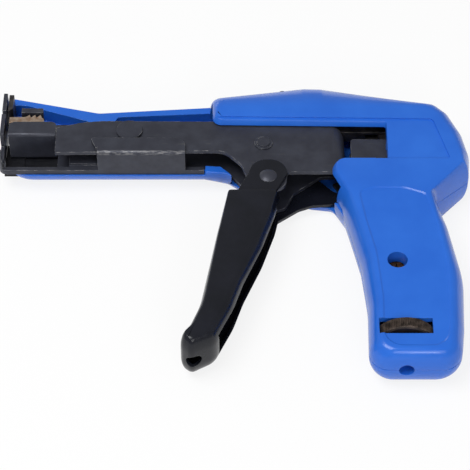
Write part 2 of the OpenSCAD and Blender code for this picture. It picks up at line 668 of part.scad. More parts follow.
module pull_link() color("dimgray") {
    tab_wall = 3;
    slot_wall = 1.6;
    tongue_play = 0.5;
    tongue_drop = 1.3;
    bar_x1 = pull_pin_at.x + small_pin_r + tab_wall;
    tab_x0 = pull_pin_at.x - small_pin_r - tab_wall;
    slot_lift = crank_pull_l * (1 - cos(crank_turn));
    tongue_x = pawl_rear_x + tongue_play;
    tongue_y0 = link_y - tongue_drop;
    tongue_y1 = pawl_base_y - 4 * gap;
    difference() {
        union() {
            block([tongue_x, link_y, mech_z - link_w / 2], [bar_x1, link_y + link_h, mech_z + link_w / 2]);
            block([tab_x0, link_y, mech_z - link_w / 2],
                  [bar_x1, pull_pin_at.y + slot_lift + small_pin_r + slot_wall, mech_z + link_w / 2]);
            block([pawl_front_x + tab_wall / 2, tongue_y0, mech_z - fork_in],
                  [tongue_x + eps, tongue_y1, mech_z + fork_in]);
        }
        // fork for the crank
        block([tab_x0 - cut, link_y - cut, mech_z - fork_in], [bar_x1 + cut, hood_h, mech_z + fork_in]);
        // slot for the crank's pin
        for (y = [pull_pin_at.y, pull_pin_at.y + slot_lift])
            bar([pull_pin_at.x, y], small_pin_r + 2 * fit, -cut, body_t + cut);
        block([pull_pin_at.x - small_pin_r - 2 * fit, pull_pin_at.y, -cut],
              [pull_pin_at.x + small_pin_r + 2 * fit, pull_pin_at.y + slot_lift, body_t + cut]);
        bar(pawl_pin_at, small_pin_r, -cut, body_t + cut);
    }
}

module pawl_pin() color("silver") {
    bar(pawl_pin_at, small_pin_r, mech_z - link_w / 2, mech_z + link_w / 2);
}

module gripper_pawl() color("tan") {
    ear_play = 0.2;
    ear_in_z = fork_in + ear_play;
    ear_r = 2.3;
    pawl_h = 2.9;
    top_y = pawl_base_y + pawl_h;
    pitch = 2.1;
    teeth_x = pawl_rear_x - (teeth_n + 0.4) * pitch;
    difference() {
        union() {
            translate([0, 0, mech_z - pawl_half_w]) linear_extrude(2 * pawl_half_w) union() {
                polygon([[pawl_front_x, pawl_base_y], [pawl_front_x, top_y], [teeth_x, top_y],
                    for (i = [0 : teeth_n - 1]) each [[teeth_x + (i + 0.75) * pitch, top_y + tooth_h],
                                                      [teeth_x + (i + 1) * pitch, top_y - tooth_h / 4]],
                    [pawl_rear_x, top_y - tooth_h], [pawl_rear_x, pawl_base_y]]);
            }
            for (side = [-1, 1]) translate([0, 0, mech_z + (side < 0 ? -link_w / 2 : ear_in_z)])
                linear_extrude(link_w / 2 - ear_in_z) union() {
                    translate(pawl_pin_at) circle(ear_r);
                    translate([pawl_pin_at.x - ear_r, pawl_pin_at.y])
                        square([2 * ear_r, pawl_base_y - pawl_pin_at.y + eps]);
                }
        }
        bar(pawl_pin_at, small_pin_r + fit, -cut, body_t + cut);
    }
}

module bell_crank() color("dimgray") {
    hub_wall = 2;
    eye_wall = 0.8;
    tip_cut = 1;
    hub_r = crank_pin_r + hub_wall;
    // the pulling arm stands crank_turn in front of upright at rest
    pull_a = 90 + crank_turn;
    difference() {
        union() {
            bar(crank_at, hub_r, arm_z, mech_z + crank_plate_t / 2);
            translate([crank_at.x, crank_at.y, arm_z]) rotate([0, 0, crank_a]) translate([0, -crank_w / 2, 0])
                linear_extrude(ear_t) union() {
                    square([crank_arm_l - tip_cut, crank_w]);
                    square([crank_arm_l, crank_w - tip_cut]);
                }
            translate([crank_at.x, crank_at.y, mech_z - crank_plate_t / 2]) rotate([0, 0, pull_a])
                translate([0, -crank_w / 3, 0]) cube([crank_pull_l, 2 * crank_w / 3, crank_plate_t]);
            bar(pull_pin_at, crank_w / 3 + eye_wall, mech_z - crank_plate_t / 2, mech_z + crank_plate_t / 2);
        }
        bar(crank_at, crank_pin_r + fit, -cut, body_t + cut);
        bar(pull_pin_at, small_pin_r, -cut, body_t + cut);
    }
}

module crank_pin() color("silver") {
    bar(crank_at, crank_pin_r, crank_pin_z0, crank_pin_z1);
}

module link_pin() color("silver") {
    bar(pull_pin_at, small_pin_r, mech_z - link_w / 2, mech_z + link_w / 2);
}

// Fork that holds up the lever's rear end against the spring
module tension_yoke() color("dimgray") {
    yoke_play = 0.4;
    yoke_in = link_w / 2 + yoke_play;
    yoke_t = 1.5;
    travel = 3.6;
    slot_r = cbore_r + boss_wall + gap;
    difference() {
        union() {
            for (z = [yoke_in, -yoke_in - yoke_t]) plate(yoke_shares, z, z + yoke_t);
            block([place([0.51, 0]).x, yoke_cap_y, mech_z - yoke_in - eps],
                  [place([0.715, 0]).x, yoke_cap_y + cap_t, mech_z + yoke_in + eps]);
            // plate seen in the window
            block([place([0.53, 0]).x, 0.2 * hood_h, mech_z + yoke_in],
                  [crank_at.x - crank_pin_r - 2 * gap, 0.435 * hood_h, mech_z + yoke_in + yoke_t]);
        }
        for (y = [screw_at.y, screw_at.y + travel]) bar([screw_at.x, y], slot_r, -cut, body_t + cut);
        block([screw_at.x - slot_r, screw_at.y, -cut],
              [screw_at.x + slot_r, screw_at.y + travel, body_t + cut]);
        rod(rod_r + gap, yoke_cap_y - cut, rod_y1 + travel);
    }
}

module tension_spring() color("silver") {
    wire_r = spring_wire / 2;
    span = spring_y1 - spring_y0 - spring_wire;
    translate([rod_x, spring_y0 + wire_r, mid_z]) rotate([-90, 0, 0])
        helix(spring_r - wire_r, wire_r, span / spring_turns, spring_turns, 16, 6);
}

module adjuster_nut() color("dimgray") {
    difference() {
        block([rod_x - nut_w / 2, nut_y, mid_z - nut_w / 2],
              [rod_x + nut_w / 2, nut_y + nut_h, mid_z + nut_w / 2]);
        rod(rod_r + fit, nut_y - cut, nut_y + nut_h + cut);
    }
}

module adjuster_screw() color("silver") {
    difference() {
        rod(rod_r, journal_y0, rod_y1);
        block([rod_x - 2 * rod_r, journal_y0 - cut, mid_z - rod_r / 5],
              [rod_x + 2 * rod_r, journal_y0 + rod_r / 2, mid_z + rod_r / 5]);
    }
}

module adjuster_wheel() color("saddlebrown") {
    groove = 0.35;
    rim = 0.5;
    difference() {
        union() {
            rod(wheel_r - rim, wheel_y - wheel_t / 2, wheel_y + wheel_t / 2);
            rod(wheel_r, wheel_y - wheel_t / 2 + rim, wheel_y + wheel_t / 2 - rim);
        }
        rod(rod_r, wheel_y - wheel_t, wheel_y + wheel_t);
        for (i = [0 : knurl_n - 1]) translate([rod_x, wheel_y - wheel_t / 2 - cut, mid_z])
            rotate([-90, 360 * i / knurl_n, 0]) translate([wheel_r, 0, 0]) rotate([0, 0, 45])
                translate([-groove, -groove, 0]) cube([2 * groove, 2 * groove, wheel_t + 2 * cut]);
    }
}

housing_far_half();
housing_near_half();
handle_screw();
hood_screws();
barrel_frame();
barrel_liner();
frame_rivets();
fixed_blade();
anvil();
lever_pivot_pin();
cutter_lever();
nose_block();
lever_rivet();
trigger_pin();
trigger_grip();
trigger_plates();
trigger_spring();
pull_link();
pawl_pin();
gripper_pawl();
bell_crank();
crank_pin();
link_pin();
tension_yoke();
tension_spring();
adjuster_nut();
adjuster_screw();
adjuster_wheel();
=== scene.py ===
"""Cable tie tensioning tool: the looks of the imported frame.

Metres; +X runs to the rear, +Y to the hood and +Z to the viewer.
"""

from math import acos, atan2, cos, pi, radians, sin, sqrt, tan

import bmesh
import bpy
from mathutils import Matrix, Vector


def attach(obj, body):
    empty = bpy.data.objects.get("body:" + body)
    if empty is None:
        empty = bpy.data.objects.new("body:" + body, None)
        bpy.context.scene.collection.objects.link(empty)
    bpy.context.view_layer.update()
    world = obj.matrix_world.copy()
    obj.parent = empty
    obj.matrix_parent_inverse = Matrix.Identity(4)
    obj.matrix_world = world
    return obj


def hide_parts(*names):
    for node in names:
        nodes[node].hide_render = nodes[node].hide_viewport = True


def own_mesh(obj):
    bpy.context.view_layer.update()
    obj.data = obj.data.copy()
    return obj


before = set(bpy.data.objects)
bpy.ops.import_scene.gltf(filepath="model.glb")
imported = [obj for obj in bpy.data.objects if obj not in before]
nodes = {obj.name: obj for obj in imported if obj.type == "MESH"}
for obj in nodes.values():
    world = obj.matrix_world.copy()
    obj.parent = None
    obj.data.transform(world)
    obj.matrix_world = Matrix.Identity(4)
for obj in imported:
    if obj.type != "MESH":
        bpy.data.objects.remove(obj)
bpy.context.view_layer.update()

MM = 0.001

# Reaches of the body from the trigger pin, and the halves' thickness
BARREL_L = 100 * MM
BODY_L = 76 * MM
HOOD_H = 52 * MM
HANDLE_H = 84 * MM
BODY_T = 22 * MM
BUTT_T = 17 * MM
CORNER_R = 4 * MM
MID_Z = BODY_T / 2
# The middle of the mechanism, nearer the viewer than the parting plane
MECH_Z = MID_Z + 1.2 * MM
# Share of the handle's reach where its face starts to slope towards the butt
FOLD = -0.113
# Width and wall of the trigger
GRIP_W = 19 * MM
GRIP_T = 1.35 * MM

# Outlines as shares of the reaches: x, y at the parting plane, x, y where the roll meets the
# flat face, corner radius as a share of CORNER_R
HOOD = [
    (0.187, 1.004, 0.187, 0.665, 2), (0.27, 1, 0.27, 0.665, 2), (0.856, 0.784, 0.805, 0.665, 1.4),
    (0.922, 0.676, 0.846, 0.6, 1.2), (0.978, 0.468, 0.9, 0.42, 2), (1, 0.269, 0.934, 0.231, 2),
    (0.989, 0.1, 0.95, 0.127, 0.4),
]
HANDLE = [
    (0.803, -0.083, 0.776, FOLD, 1), (0.861, -0.262, 0.8, -0.286, 12),
    (0.911, -0.548, 0.84, -0.548, 12), (0.893, -0.81, 0.824, -0.81, 8),
    (0.867, -1, 0.804, -0.958, 2), (0.448, -1, 0.511, -0.958, 1.8),
    (0.457, -0.69, 0.52, -0.69, 12), (0.435, -0.452, 0.5, -0.452, 12),
    (0.394, -0.262, 0.458, -0.262, 10),
]
NEAR_HALF = [(-0.219, 0.877, -0.187, 0.665, 1.1)] + HOOD + HANDLE + [
    (0.358, -0.107, 0.413, FOLD, 3), (0.301, 0.038, 0.341, 0.035, 1.2),
    (0.303, 0.162, 0.342, 0.146, 1.15), (0.583, 0.162, 0.592, 0.146, 0.15),
    (0.586, 0.496, 0.596, 0.54, 0.3), (-0.219, 0.513, -0.187, 0.567, 1),
]
FAR_HALF = [
    (-1, 0.977, -0.95, 0.837, 0.4), (-0.651, 0.817, -0.64, 0.712, 2),
    (-0.228, 0.877, -0.22, 0.712, 3),
] + HOOD + HANDLE + [
    (0.368, -0.14, 0.411, FOLD, 2), (0.305, -0.02, 0.34, 0.01, 1.4),
    (0.2, -0.008, 0.224, 0.035, 1.2), (-0.068, 0.088, -0.06, 0.163, 0.8),
    (-0.157, 0.194, -0.145, 0.337, 2), (-0.24, 0.21, -0.23, 0.44, 1), (-1, 0.206, -0.91, 0.44, 2.6),
]
GRIP = [
    (-0.151, -0.087, -0.144, -0.1, 0.3), (0.06, -0.087, 0.03, -0.1, 0.3),
    (0.036, -0.205, -0.006, -0.205, 8), (-0.022, -0.4, -0.066, -0.4, 12),
    (-0.09, -0.6, -0.128, -0.6, 12), (-0.126, -0.74, -0.166, -0.74, 8),
    (-0.19, -0.912, -0.222, -0.88, 1.6), (-0.275, -0.962, -0.272, -0.925, 0.6),
    (-0.322, -0.918, -0.3, -0.9, 0.8), (-0.287, -0.855, -0.262, -0.85, 3),
    (-0.248, -0.73, -0.224, -0.73, 10), (-0.19, -0.33, -0.175, -0.33, 10),
]

# The trigger's ears as shares of the reaches: x, y and the corner radius as a share of CORNER_R
EAR = [
    (-0.072, 0.03, 0.8), (-0.055, 0.162, 1.6), (0.072, 0.162, 1.6), (0.095, 0.03, 1),
    (0.02, -0.12, 3), (-0.03, -0.36, 1), (-0.155, -0.36, 0.5), (-0.118, -0.1, 1),
]
# In millimetres, x, y and the corner radius: the trigger's rear arm, and the panels of the near half
ARM = [
    (-3, 6.2, 1), (2, 12, 2), (19, 12, 4), (25, 5.5, 4), (29.6, 4.7, 0.3), (29.6, -0.9, 0.3),
    (25.5, -0.6, 6), (16.4, -1.35, 6), (11.5, -3.4, 6), (2.35, -10.4, 4), (-4, -14, 1),
]
HOOD_PANEL = [
    (-30, 20, 0.2), (-30, 29.9, 0.2), (62.6, 28.4, 2), (67.9, 7.5, 0.8), (40, 7.5, 0.2),
    (40, 20, 0.2),
]
GRIP_PANEL = [
    (33.6, -9.6, 2), (38.5, -7.4, 8), (50, -7.6, 10), (57.4, -10.6, 2.5), (60.4, -24, 30),
    (63.1, -46, 40), (62.2, -68, 30), (60.6, -79.2, 6), (39.5, -79.2, 6), (40, -58, 40),
    (38.6, -38, 40), (35.4, -22, 30),
]

# Rooms inside the halves, as shares of the reaches
FAR_LOW = [
    (-0.94, 0.33), (-0.94, 0.7), (0.8, 0.7), (0.91, 0.5), (0.935, 0.25), (0.92, 0.13),
    (0.77, -0.085), (0.41, -0.085), (0.3, -0.05), (0.215, -0.035), (0.215, -0.24),
    (-0.096, -0.24), (-0.096, 0.22), (-0.15, 0.3), (-0.24, 0.33),
]
FAR_HIGH = [
    (-1.02, 0.27), (-1.02, 0.9), (-0.932, 0.895), (-0.652, 0.702), (-0.593, 0.702),
    (-0.575, 0.772),
    (-0.228, 0.81), (0.187, 0.92), (0.27, 0.92), (0.84, 0.73), (0.93, 0.48), (0.95, 0.25),
    (0.94, 0.125), (0.77, -0.085), (0.41, -0.085), (0.3, -0.05), (0.215, -0.035), (0.215, -0.24),
    (-0.119, -0.24), (-0.119, 0.1), (-0.141, 0.19), (-0.178, 0.262), (-0.24, 0.27),
]
NEAR_LOW = [
    (-0.26, 0.3), (-0.26, 0.756), (-0.19, 0.756), (0.187, 0.84), (0.27, 0.84), (0.82, 0.67),
    (0.91, 0.47), (0.935, 0.25), (0.92, 0.14), (0.75, -0.055), (0.44, -0.055), (0.22, -0.055),
    (0.22, 0.3),
]
NEAR_HIGH = [(-0.2, 0.6), (-0.2, 0.8), (0.187, 0.94), (0.27, 0.935), (0.84, 0.73), (0.9, 0.6)]
HANDLE_ROOM = [
    (0.4, -0.045), (0.76, -0.045), (0.815, -0.262), (0.868, -0.548), (0.852, -0.8),
    (0.835, -0.895), (0.5, -0.895), (0.503, -0.69), (0.485, -0.452), (0.44, -0.262),
]


def place(x_share, y_share):
    """A point of an outline in metres, from its shares of the four reaches."""
    return Vector((
        x_share * (BARREL_L if x_share < 0 else BODY_L),
        y_share * (HANDLE_H if y_share < 0 else HOOD_H),
    ))


def in_metres(points):
    return [Vector(p[:2]) * MM for p in points]


def mm_outline(table, steps):
    """The rounded outline of a table in millimetres: x, y and corner radius."""
    return rounded(in_metres(table), [row[2] * MM for row in table], steps)


# Places and sizes that more than one piece uses
HOOD_SCREWS = [place(0.08, 0.9), place(0.9, 0.3)]
SCREW_AT = place(0.599, -0.494)
CRANK_AT = Vector((48 * MM, 18 * MM))
PIVOT_AT = place(-0.523, 0.475)
ROD_X = 0.618 * BODY_L
WHEEL_Y = -0.845 * HANDLE_H
WHEEL_R = 10.9 * MM
WHEEL_T = 5 * MM
NEAR_ROOM_Z = MECH_Z + 7 * MM
FLOOR_Z = 3.6 * MM
SHELF_Z = 5.2 * MM
ROOM_DEPTH = 6.5 * MM
CRANK_BOSS_R = 3.6 * MM
# What a cutter reaches past the surface that it cuts
OVER = 1 * MM
# Points nearer than this are one point
WELD = 0.002 * MM
# A bevel's segments, and the steps round a panel's corner
EDGE_SEGMENTS = 2
PANEL_STEPS = 6


def mesh_piece(name, verts, faces):
    mesh = bpy.data.meshes.new(name)
    mesh.from_pydata([tuple(v) for v in verts], [], faces)
    mesh.update()
    piece = bpy.data.objects.new(name, mesh)
    bpy.context.scene.collection.objects.link(piece)
    return piece


def arc_corner(before, corner, after, radius, steps):
    """Points of the arc that rounds one corner of an outline."""
    a = (before - corner).normalized()
    b = (after - corner).normalized()
    straight = 0.001
    if (a + b).length < straight:
        return [
            corner + (a if i < steps / 2 else b) * abs(1 - 2 * i / steps) * radius / 8
            for i in range(steps + 1)
        ]
    half = acos(max(-1, min(1, a.dot(b)))) / 2
    centre = corner + (a + b).normalized() * radius / sin(half)
    start = corner + a * radius / tan(half)
    end = corner + b * radius / tan(half)
    first = atan2(start.y - centre.y, start.x - centre.x)
    turn = atan2(end.y - centre.y, end.x - centre.x) - first
    turn = (turn + pi) % (2 * pi) - pi
    return [
        centre + radius * Vector((cos(first + turn * i / steps), sin(first + turn * i / steps)))
        for i in range(steps + 1)
    ]


def rounded(points, radii, steps):
    count = len(points)
    ring = []
    for i in range(count):
        ring += arc_corner(points[i - 1], points[i], points[(i + 1) % count], radii[i], steps)
    return ring


def half_thickness(y):
    """Full over the body, thinner towards the butt."""
    fold_y = FOLD * HANDLE_H
    if y > fold_y:
        return MID_Z
    return MID_Z - (BODY_T - BUTT_T) / 2 * (fold_y - y) / (HANDLE_H + fold_y)


def roll_profile(steps, wall, cut_in):
    """Heights and outline shares of a rolled edge: a wall, a slight crease, then the roll."""
    profile = [(0.0, 1.0), (wall, 1.0)]
    for k in range(1, steps + 1):
        up = sin(radians(90 * k / steps))
        profile.append((wall + (1 - wall) * up, (1 - cut_in) * sqrt(1 - up * up) + cut_in * (1 - up)))
    return profile


def loft(name, outer, inner, profile, height, split=None, break_edge=0.0):
    """Rings from the outer outline up to the inner one, closed at both ends.

    split divides the last face in two, and break_edge draws in the ring at height 0.
    """
    count = len(outer)
    verts = []
    for h, share in profile:
        for o, i in zip(outer, inner):
            p = i + (o - i) * share
            if h == 0 and break_edge:
                p = o + (i - o).normalized() * break_edge
            verts.append((p.x, p.y, height(p.y, h)))
    last = len(profile) - 1
    faces = []
    for k in range(last):
        for i in range(count):
            j = (i + 1) % count
            faces.append((k * count + i, k * count + j, (k + 1) * count + j, (k + 1) * count + i))
    top = last * count
    if split:
        first, second = split
        faces.append([top + i for i in list(range(second, count)) + list(range(first + 1))])
        faces.append([top + i for i in range(first, second + 1)])
    else:
        faces.append([top + i for i in range(count)])
    faces.append(list(range(count)))
    piece = mesh_piece(name, verts, faces)
    outward(piece)
    return piece


def both_outlines(table, steps):
    """The outer and the inner outline of a table of shares; inner corners are tighter."""
    tighter = 0.7
    radii = [row[4] * CORNER_R for row in table]
    outer = rounded([place(row[0], row[1]) for row in table], radii, steps)
    inner = rounded([place(row[2], row[3]) for row in table], [r * tighter for r in radii], steps)
    return outer, inner


def rolled_body(name, outline, side):
    """A moulded half: it rolls from its parting outline to its smaller flat face."""
    steps = 10
    groove = 0.3 * MM
    outer, inner = both_outlines(outline, steps)
    folds = [i * (steps + 1) + steps // 2 for i, row in enumerate(outline) if row[3] == FOLD]
    for i in folds:
        inner[i].y = FOLD * HANDLE_H
    profile = roll_profile(16, 0.2, 0.15)
    profile.insert(1, (groove / MID_Z, 1.0))
    return loft(
        name, outer, inner, profile, lambda y, h: MID_Z + side * half_thickness(y) * h, folds, groove,
    )


def outward(piece):
    solid = bmesh.new()
    solid.from_mesh(piece.data)
    bmesh.ops.recalc_face_normals(solid, faces=solid.faces)
    solid.to_mesh(piece.data)
    solid.free()


def between(low, high, name="cutter"):
    """A closed piece between two rings of as many points."""
    count = len(low)
    faces = [list(range(count))[::-1], list(range(count, 2 * count))]
    faces += [(i, (i + 1) % count, count + (i + 1) % count, count + i) for i in range(count)]
    piece = mesh_piece(name, low + high, faces)
    outward(piece)
    return piece


def prism(points, low, high, name="cutter"):
    """An outline raised from low to high, as a cutter or as a piece with its own name."""
    return between([(p[0], p[1], low) for p in points], [(p[0], p[1], high) for p in points], name)


def tapered(bottom, top, depth):
    """A cutter that opens out from a depth under the near face to just over it."""
    count = len(bottom)
    face = [MID_Z + half_thickness(p.y) for p in bottom]
    verts = [(p.x, p.y, z - depth) for p, z in zip(bottom, face)]
    verts += [(p.x, p.y, z + OVER) for p, z in zip(top, face)]
    faces = [(i, (i + 1) % count, count + (i + 1) % count, count + i) for i in range(count)]
    faces += [list(range(count)), list(range(count, 2 * count))]
    piece = mesh_piece("cutter", verts, faces)
    outward(piece)
    return piece


def panel(table, depth, slope):
    """A shallow pressed panel: its walls slope outwards to the face."""
    corners = in_metres(table)
    reach = slope * (depth + OVER) / depth
    sign = 1 if area(corners) < 0 else -1
    wide = inset(corners, [-sign * reach] * len(corners))
    rim = rounded(wide, [row[2] * MM + reach for row in table], PANEL_STEPS)
    return tapered(mm_outline(table, PANEL_STEPS), rim, depth)


def area(points):
    """Twice an outline's area; positive when it runs anticlockwise."""
    return sum(p.x * q.y - q.x * p.y for p, q in zip(points, points[1:] + points[:1]))


def room(shares, low, high):
    return prism([place(*s) for s in shares], low, high)


def round_bar(start, end, radius, sides=48):
    """A cutter: a round bar between two points."""
    axis = Vector(end) - Vector(start)
    turn = axis.to_track_quat("Z", "Y").to_matrix()
    angles = [2 * pi * i / sides for i in range(sides)]
    ring = [Vector((radius * cos(angle), radius * sin(angle), 0)) for angle in angles]
    return between([Vector(start) + turn @ p for p in ring], [Vector(end) + turn @ p for p in ring])


def applied(piece):
    """Replaces the piece's mesh by what its modifiers make, and clears them."""
    bpy.context.view_layer.update()
    seen = piece.evaluated_get(bpy.context.evaluated_depsgraph_get())
    mesh = bpy.data.meshes.new_from_object(seen)
    piece.modifiers.clear()
    piece.data = mesh
    return piece


def carve(piece, cutters, operation="DIFFERENCE"):
    """Cuts or joins the cutters, which are used up."""
    for cutter in cutters:
        step = piece.modifiers.new("carve", "BOOLEAN")
        step.operation = operation
        step.solver = "EXACT"
        step.object = cutter
    applied(piece)
    for cutter in cutters:
        bpy.data.objects.remove(cutter)
    return piece


def smooth(piece, limit):
    """Smooth shading, with edges sharper than the limit kept crisp."""
    solid = bmesh.new()
    solid.from_mesh(piece.data)
    bmesh.ops.remove_doubles(solid, verts=solid.verts, dist=WELD)
    for face in solid.faces:
        face.smooth = True
    for edge in solid.edges:
        edge.smooth = len(edge.link_faces) == 2 and edge.calc_face_angle(0) < radians(limit)
    solid.to_mesh(piece.data)
    solid.free()


def ease_edges(piece, width, angle):
    """A small bevel on the edges sharper than the angle."""
    ease = piece.modifiers.new("ease", "BEVEL")
    ease.width = width
    ease.segments = EDGE_SEGMENTS
    ease.limit_method = "ANGLE"
    ease.angle_limit = radians(angle)
    ease.harden_normals = False


class Finish:
    """Builds one finish on Object coordinates: a principled surface with wear and grain."""

    BEVEL_SAMPLES = 6

    def __init__(self, name, colour, roughness, metallic=0.0):
        self.material = bpy.data.materials.new(name)
        self.material.use_nodes = True
        self.tree = self.material.node_tree
        self.surface = self.tree.nodes["Principled BSDF"]
        self.surface.inputs["Base Color"].default_value = (*colour, 1)
        self.surface.inputs["Roughness"].default_value = roughness
        self.surface.inputs["Metallic"].default_value = metallic
        self.place = self.add("ShaderNodeTexCoord").outputs["Object"]

    def add(self, kind, **settings):
        node = self.tree.nodes.new(kind)
        for key, value in settings.items():
            setattr(node, key, value)
        return node

    def link(self, output, node, socket):
        self.tree.links.new(output, node.inputs[socket])

    def grain(self, scale, detail=3.0, stretch=(1, 1, 1)):
        """A noise pattern, drawn out along an axis by stretch."""
        fit = self.add("ShaderNodeMapping")
        fit.inputs["Scale"].default_value = stretch
        self.link(self.place, fit, "Vector")
        noise = self.add("ShaderNodeTexNoise")
        noise.inputs["Scale"].default_value = scale
        noise.inputs["Detail"].default_value = detail
        self.link(fit.outputs["Vector"], noise, "Vector")
        return noise.outputs["Fac"]

    def ramp(self, value, low, high, to_low=0.0, to_high=1.0):
        """A value spread from the range low to high over the range to_low to to_high."""
        step = self.add("ShaderNodeMapRange")
        for key, number in (
            ("From Min", low), ("From Max", high), ("To Min", to_low), ("To Max", to_high),
        ):
            step.inputs[key].default_value = number
        self.link(value, step, "Value")
        return step.outputs["Result"]

    def times(self, a, b):
        step = self.add("ShaderNodeMath", operation="MULTIPLY")
        self.link(a, step, 0)
        self.link(b, step, 1)
        return step.outputs["Value"]

    def blend(self, share, first, second):
        """Two colours mixed by a value; each is a colour or an output."""
        mix = self.add("ShaderNodeMix", data_type="RGBA")
        self.link(share, mix, 0)
        for socket, colour in ((6, first), (7, second)):
            if isinstance(colour, tuple):
                mix.inputs[socket].default_value = (*colour, 1)
            else:
                self.link(colour, mix, socket)
        return mix.outputs[2]

    def rounded_normal(self, radius):
        bevel = self.add("ShaderNodeBevel", samples=self.BEVEL_SAMPLES)
        bevel.inputs["Radius"].default_value = radius
        return bevel.outputs["Normal"]

    def worn_edges(self, radius, low, high):
        """1 on sharp outer edges, broken up by noise."""
        dot = self.add("ShaderNodeVectorMath", operation="DOT_PRODUCT")
        self.link(self.rounded_normal(radius), dot, 0)
        self.link(self.add("ShaderNodeNewGeometry").outputs["Normal"], dot, 1)
        edge = self.ramp(dot.outputs["Value"], 0.995, 0.9)
        return self.times(edge, self.ramp(self.grain(420), low, high))

    def rubbed_band_and_highlight(self, direction, low, high):
        """Broken bright streaks where the place along a direction passes from low to high: rubbed
        wear, and a painted highlight where a fold rounds over.
        """
        along = self.add("ShaderNodeVectorMath", operation="DOT_PRODUCT")
        self.link(self.place, along, 0)
        along.inputs[1].default_value = direction
        streaks = self.ramp(self.grain(1500, 4, (0.3, 1, 1)), 0.44, 0.60)
        return self.times(self.ramp(along.outputs["Value"], low, high), streaks)

    def colour(self, output):
        self.link(output, self.surface, "Base Color")

    def roughness(self, output):
        self.link(output, self.surface, "Roughness")

    def relief(self, height, depth, soft_edge=0.0):
        """A fine bump over edges that shade as if rounded."""
        bump = self.add("ShaderNodeBump")
        bump.inputs["Strength"].default_value = 1.0
        bump.inputs["Distance"].default_value = depth
        self.link(height, bump, "Height")
        if soft_edge:
            self.link(self.rounded_normal(soft_edge), bump, "Normal")
        self.link(bump.outputs["Normal"], self.surface, "Normal")


def moulded_blue():
    finish = Finish("moulded_blue", (0.018, 0.135, 0.62), 0.3)
    clouds = finish.grain(60, 4)
    share = finish.ramp(clouds, 0.35, 0.7)
    finish.colour(finish.blend(share, (0.016, 0.126, 0.60), (0.022, 0.148, 0.65)))
    finish.roughness(finish.ramp(finish.grain(900, 2), 0.3, 0.7, 0.2, 0.26))
    finish.surface.inputs["Specular IOR Level"].default_value = 0.4
    finish.relief(finish.grain(1800, 2), 0.0004 * MM, 0.25 * MM)
    return finish.material


def blackened_steel(name="blackened_steel", shade=1.0, fold=None):
    """Blued sheet with a soft mottle and rubbed edges; fold is a band of rubbed wear and painted
    highlight (axis, low, high), and shade below 1 darkens all its colours as painted shade.
    """
    finish = Finish(name, (0.031 * shade, 0.035 * shade, 0.046 * shade), 0.45, 0.35)
    cloud = finish.ramp(finish.grain(180, 5), 0.35, 0.7)
    dark, light = (0.032, 0.034, 0.048), (0.046, 0.050, 0.068)
    skin = finish.blend(cloud, tuple(c * shade for c in dark), tuple(c * shade for c in light))
    scuffs = finish.ramp(finish.grain(900, 4, (0.12, 1, 1)), 0.66, 0.74)
    wear = finish.worn_edges(0.3 * MM, 0.46, 0.62)
    skin = finish.blend(finish.times(scuffs, cloud), skin, (0.085 * shade,) * 3)
    skin = finish.blend(wear, skin, (0.34 * shade,) * 3)
    if fold:
        # Painted highlight along the fold, mixed with rubbed wear
        skin = finish.blend(finish.rubbed_band_and_highlight(*fold), skin, (0.15, 0.15, 0.16))
    finish.colour(skin)
    finish.roughness(finish.ramp(finish.grain(700, 4), 0.3, 0.7, 0.34, 0.52))
    finish.relief(finish.grain(900, 3), 0.004 * MM, 0.2 * MM)
    return finish.material


def black_paint():
    finish = Finish("black_paint", (0.012, 0.012, 0.017), 0.22)
    cloud = finish.ramp(finish.grain(90, 4), 0.35, 0.7)
    finish.colour(finish.blend(cloud, (0.005, 0.006, 0.010), (0.008, 0.009, 0.015)))
    finish.roughness(finish.ramp(finish.grain(420, 3), 0.35, 0.7, 0.2, 0.28))
    finish.surface.inputs["Specular IOR Level"].default_value = 0.3
    finish.surface.inputs["Coat Weight"].default_value = 0.08
    finish.surface.inputs["Coat Roughness"].default_value = 0.15
    finish.relief(finish.grain(700, 2), 0.001 * MM, 0.3 * MM)
    return finish.material


def bare_steel():
    finish = Finish("bare_steel", (0.23, 0.22, 0.21), 0.38, 0.9)
    cloud = finish.ramp(finish.grain(260, 4), 0.35, 0.7)
    finish.colour(finish.blend(cloud, (0.05, 0.048, 0.05), (0.13, 0.12, 0.12)))
    finish.roughness(finish.ramp(finish.grain(1500, 3, (0.1, 1, 1)), 0.3, 0.7, 0.3, 0.5))
    finish.relief(finish.grain(2200, 2, (0.1, 1, 1)), 0.006 * MM, 0.15 * MM)
    return finish.material


def spring_wire():
    finish = Finish("spring_wire", (0.16, 0.16, 0.17), 0.3, 0.95)
    cloud = finish.ramp(finish.grain(700), 0.3, 0.7)
    finish.colour(finish.blend(cloud, (0.11, 0.11, 0.12), (0.24, 0.24, 0.25)))
    finish.relief(finish.grain(3000, 2), 0.004 * MM)
    return finish.material


def tempered_steel():
    finish = Finish("tempered_steel", (0.42, 0.30, 0.22), 0.34, 0.85)
    warm = finish.ramp(finish.grain(500, 4), 0.3, 0.7)
    finish.colour(finish.blend(warm, (0.36, 0.22, 0.14), (0.62, 0.52, 0.42)))
    finish.roughness(finish.ramp(finish.grain(1200, 3), 0.3, 0.7, 0.28, 0.46))
    finish.relief(finish.grain(1800, 2, (1, 0.15, 1)), 0.008 * MM, 0.12 * MM)
    return finish.material


def dark_brass():
    finish = Finish("dark_brass", (0.23, 0.12, 0.05), 0.4, 0.9)
    tarnish = finish.ramp(finish.grain(800, 4), 0.35, 0.65)
    finish.colour(finish.blend(tarnish, (0.018, 0.008, 0.005), (0.22, 0.10, 0.035)))
    finish.relief(finish.grain(2000, 2), 0.01 * MM, 0.12 * MM)
    return finish.material


